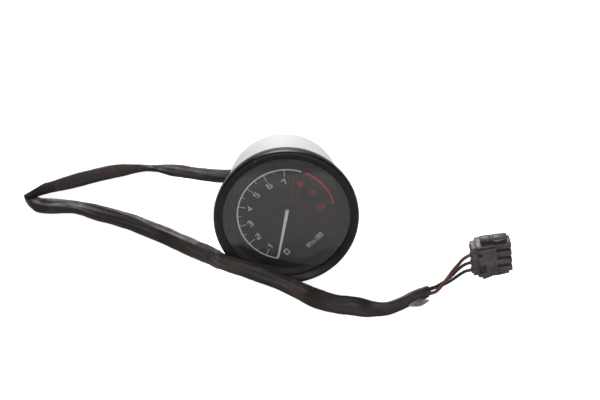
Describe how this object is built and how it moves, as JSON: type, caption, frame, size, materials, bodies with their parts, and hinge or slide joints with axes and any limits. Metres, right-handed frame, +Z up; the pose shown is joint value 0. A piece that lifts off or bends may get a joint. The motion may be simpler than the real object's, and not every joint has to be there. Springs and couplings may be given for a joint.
{
  "type": "motorcycle tachometer",
  "caption": "Round motorcycle tachometer lying on its side, with a sleeved wiring harness that ends in a flat multi-way connector.",
  "frame": {"origin": "on the ground, below the middle of the gauge where it lies on its bezel and its cup", "axes": "+Z up, -Y the side that the dial faces, +X to the right of a person who reads the dial"},
  "size_m": [0.3343, 0.1805, 0.0947],
  "materials": {
    "gloss_black": "gloss, lightly scuffed",
    "matt_black": "matt",
    "clear": "clear polished",
    "rubber_black": "matt",
    "pale_plastic": "satin moulded",
    "pointer_cream": "satin",
    "steel": "zinc plated",
    "magnet_grey": "sintered",
    "brass": "satin",
    "copper_wire": "enamelled winding",
    "natural_plastic": "moulded",
    "board_green": "solder mask",
    "black_plastic": "moulded",
    "capacitor_blue": "sleeved can",
    "resistor_tan": "lacquered",
    "sleeve_pvc": "satin PVC, creased and dusty",
    "wire_brown": "satin insulation",
    "wire_black": "satin insulation",
    "wire_grey": "satin insulation",
    "connector_black": "fine grained nylon"
  },
  "bodies": {
    "root": {"bezel_ring": "gloss_black", "dial_well": "matt_black", "dial_plate": "matt_black", "pointer_stop": "matt_black", "lens": "clear", "light_guide": "clear", "bulb_1": "clear", "bulb_2": "clear", "lens_gasket": "rubber_black", "case_seal": "rubber_black", "mount_bush_1": "rubber_black", "mount_bush_2": "rubber_black", "cable_grommet": "rubber_black", "housing_cup": "pale_plastic", "shield_can": "steel", "movement_screw_1": "steel", "movement_screw_2": "steel", "movement_screw_3": "steel", "board_screw_1": "steel", "board_screw_2": "steel", "mount_stud_1": "steel", "mount_stud_2": "steel", "mount_nut_1": "steel", "mount_nut_2": "steel", "hairspring": "brass", "front_bush": "brass", "rear_bush": "brass", "board_spacer_1": "brass", "board_spacer_2": "brass", "terminal_1": "brass", "terminal_2": "brass", "terminal_3": "brass", "coil_x": "copper_wire", "coil_y": "copper_wire", "movement_plate": "natural_plastic", "bobbin_front": "natural_plastic", "bobbin_rear": "natural_plastic", "circuit_board": "board_green", "driver_chip": "black_plastic", "bulb_holder_1": "black_plastic", "bulb_holder_2": "black_plastic", "capacitor": "capacitor_blue", "resistor": "resistor_tan", "harness_sleeve": "sleeve_pvc", "wire_brown": "wire_brown", "board_lead_1": "wire_brown", "wire_black": "wire_black", "board_lead_2": "wire_black", "wire_grey": "wire_grey", "board_lead_3": "wire_grey", "connector_housing": "connector_black"},
    "pointer": {"pointer_bar": "pointer_cream", "pointer_hub": "gloss_black", "spindle": "steel", "rotor_magnet": "magnet_grey", "hairspring_collet": "brass"},
    "latch_upper": {"latch_arm_upper": "connector_black"},
    "latch_lower": {"latch_arm_lower": "connector_black"},
    "lock": {"terminal_lock": "connector_black"}
  },
  "joints": [
    {"name": "pointer_sweep", "type": "hinge", "parent": "root", "child": "pointer", "pos_m": [0, -0.02512, 0.04689], "axis": [0, 0.9823, -0.1875], "range_deg": [0, 265], "stiffness_Nm_per_rad": 0.00005, "springref_deg": -11.46},
    {"name": "latch_upper_flex", "type": "hinge", "parent": "root", "child": "latch_upper", "pos_m": [0.13543, -0.03725, 0.03111], "axis": [0.0523, -0.9986, 0], "range_deg": [-2, 5], "stiffness_Nm_per_rad": 0.02},
    {"name": "latch_lower_flex", "type": "hinge", "parent": "root", "child": "latch_lower", "pos_m": [0.13852, -0.03709, 0.0059], "axis": [-0.0523, 0.9986, 0], "range_deg": [-2, 5], "stiffness_Nm_per_rad": 0.02},
    {"name": "lock_slide", "type": "slide", "parent": "root", "child": "lock", "axis": [-0.9912, -0.0519, -0.1219], "range_m": [0, 0.002]}
  ]
}
